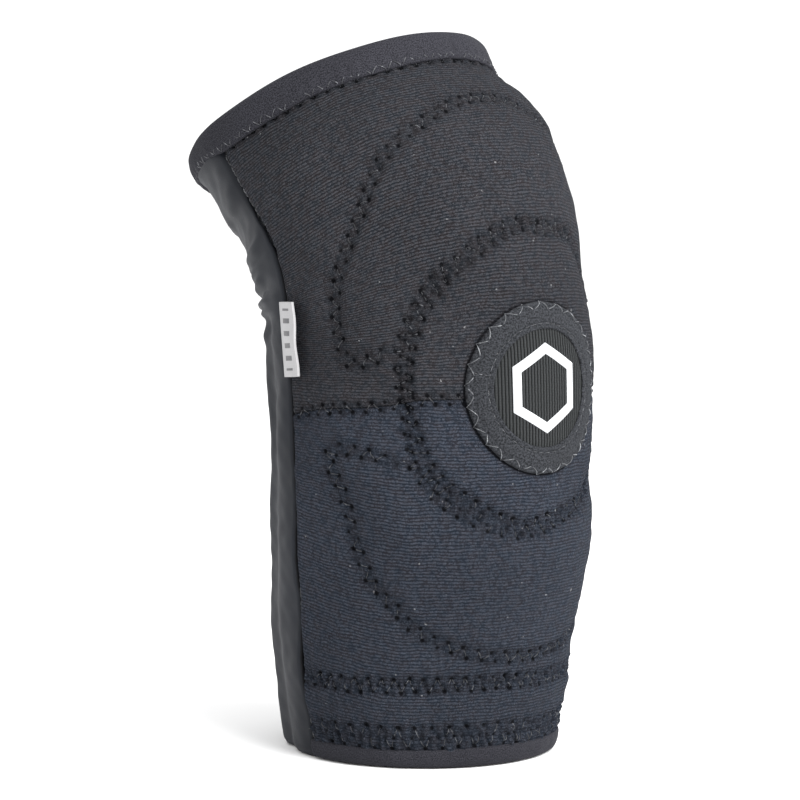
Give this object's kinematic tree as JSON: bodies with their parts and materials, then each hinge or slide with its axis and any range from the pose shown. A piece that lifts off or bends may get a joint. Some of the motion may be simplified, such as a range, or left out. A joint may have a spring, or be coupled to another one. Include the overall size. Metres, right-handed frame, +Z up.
{
  "type": "elbow pad",
  "caption": "Pre-curved slip-on elbow sleeve: woven front over foam elbow cap and arch pads, smooth stretch back, elastic hems, round patch and a side label.",
  "frame": {"origin": "on the floor plane at the forearm rim, under the middle of the whole part's box", "axes": "+Z up along the sleeve from the forearm opening to the upper-arm opening; the elbow cap faces -Y and the crook of the elbow faces +Y; +X is across the arm, and the side label is on the -X side"},
  "size_m": [0.111, 0.1474, 0.2328],
  "materials": {
    "woven": "heavy ribbed weave, matt charcoal",
    "stretch_knit": "smooth stretch jersey with a soft sheen",
    "lining": "brushed knit, matt black",
    "hem_tape": "fine knit binding, matt charcoal",
    "elastic": "woven elastic with silicone lines",
    "foam_dense": "closed-cell foam",
    "foam_soft": "open-cell foam",
    "badge_felt": "smooth knit, black",
    "badge_rib": "ribbed webbing, black",
    "print_white": "screen-printed ink, satin",
    "label_satin": "woven satin tape, white"
  },
  "bodies": {
    "forearm_sleeve": {"front_panel_lower": "woven", "front_panel_elbow": "woven", "back_panel_lower": "stretch_knit", "lining_lower": "lining", "hem_band_lower": "hem_tape", "gripper_lower": "elastic", "cap_foam_outer": "foam_dense", "cap_foam_inner": "foam_soft", "forearm_pad_foam": "foam_soft", "seam_tape_left_lower": "hem_tape", "seam_tape_right_lower": "hem_tape", "badge_ring": "badge_felt", "badge_disc": "badge_rib", "badge_emblem": "print_white"},
    "upper_arm_sleeve": {"front_panel_upper": "woven", "back_panel_upper": "stretch_knit", "lining_upper": "lining", "hem_band_upper": "hem_tape", "gripper_upper": "elastic", "upper_arm_pad_foam": "foam_soft", "seam_tape_left_upper": "hem_tape", "seam_tape_right_upper": "hem_tape"},
    "side_label": {"side_label_tab": "label_satin"}
  },
  "joints": [
    {"name": "elbow_flex", "type": "hinge", "parent": "forearm_sleeve", "child": "upper_arm_sleeve", "pos_m": [0.00193, -0.0095, 0.155], "axis": [-1, 0, 0], "range_deg": [-40, 50], "stiffness_Nm_per_rad": 0.8, "deforming": ["front_panel_elbow", "front_panel_upper", "back_panel_lower", "back_panel_upper", "lining_lower", "lining_upper", "upper_arm_pad_foam", "seam_tape_left_lower", "seam_tape_right_lower", "seam_tape_left_upper", "seam_tape_right_upper", "cap_foam_outer", "cap_foam_inner"]},
    {"name": "label_flip", "type": "hinge", "parent": "forearm_sleeve", "child": "side_label", "pos_m": [-0.05239, -0.00994, 0.1359], "axis": [0.0133, -0.0711, -0.9974], "range_deg": [-8, 150], "stiffness_Nm_per_rad": 0.0015}
  ]
}
